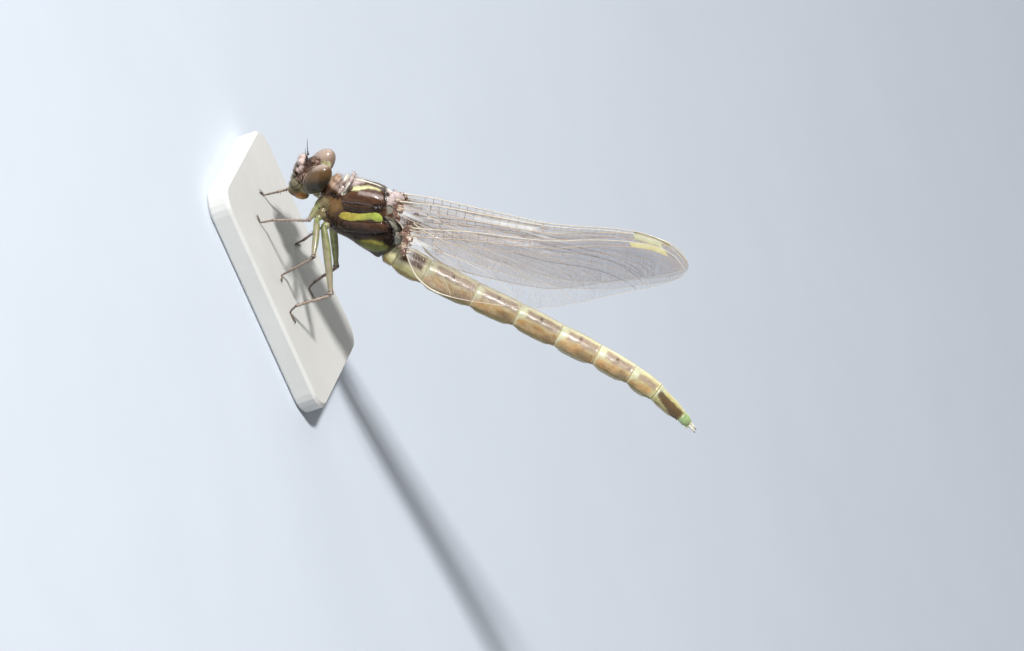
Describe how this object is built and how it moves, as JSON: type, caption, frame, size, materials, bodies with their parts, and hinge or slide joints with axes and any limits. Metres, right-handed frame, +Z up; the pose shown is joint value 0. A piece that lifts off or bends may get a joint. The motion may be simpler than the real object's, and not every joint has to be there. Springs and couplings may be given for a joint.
{
  "type": "dragonfly",
  "caption": "Newly emerged clubtail dragonfly as a still life-size model: clear wings closed over its back, raised tapering abdomen, feet on a small flat base.",
  "frame": {"origin": "centre of the display base's underside", "axes": "+Z up from the base; the head points to -X and the abdomen's tip to +X; +Y is the animal's right side"},
  "size_m": [0.0543, 0.025, 0.0516],
  "materials": {
    "stand": "satin off-white paint",
    "head": "satin pinkish-brown shell with paler domes",
    "mouthparts": "satin olive shell, orange at the jaw's hinge",
    "eyes": "glossy olive-brown, faceted, paler above",
    "feelers": "dark, thin",
    "thorax": "glossy chestnut brown with yellow-green stripes",
    "abdomen": "soft glossy yellow-green shell with mauve-brown and orange-brown patches",
    "appendages": "pale, translucent",
    "wings": "clear glossy membrane with tan veins and a yellow-green wing spot",
    "femora": "olive yellow-green, brown near the knee",
    "shins": "grey-brown with fine spines"
  },
  "bodies": {
    "root": {"stand_base": "stand", "head": "head", "mouthparts": "mouthparts", "eye_left": "eyes", "eye_right": "eyes", "antenna_left": "feelers", "antenna_right": "feelers", "prothorax": "thorax", "thorax": "thorax", "abdomen_01": "abdomen", "abdomen_02": "abdomen", "abdomen_03": "abdomen", "abdomen_04": "abdomen", "abdomen_05": "abdomen", "abdomen_06": "abdomen", "abdomen_07": "abdomen", "abdomen_08": "abdomen", "abdomen_09": "abdomen", "abdomen_10": "abdomen", "cercus_left": "appendages", "cercus_right": "appendages", "forewing_left": "wings", "forewing_right": "wings", "hindwing_left": "wings", "hindwing_right": "wings", "femur_fore_left": "femora", "tibia_fore_left": "shins", "tarsus_fore_left": "shins", "femur_fore_right": "femora", "tibia_fore_right": "shins", "tarsus_fore_right": "shins", "femur_mid_left": "femora", "tibia_mid_left": "shins", "tarsus_mid_left": "shins", "femur_mid_right": "femora", "tibia_mid_right": "shins", "tarsus_mid_right": "shins", "femur_hind_left": "femora", "tibia_hind_left": "shins", "tarsus_hind_left": "shins", "femur_hind_right": "femora", "tibia_hind_right": "shins", "tarsus_hind_right": "shins"}
  },
  "joints": []
}
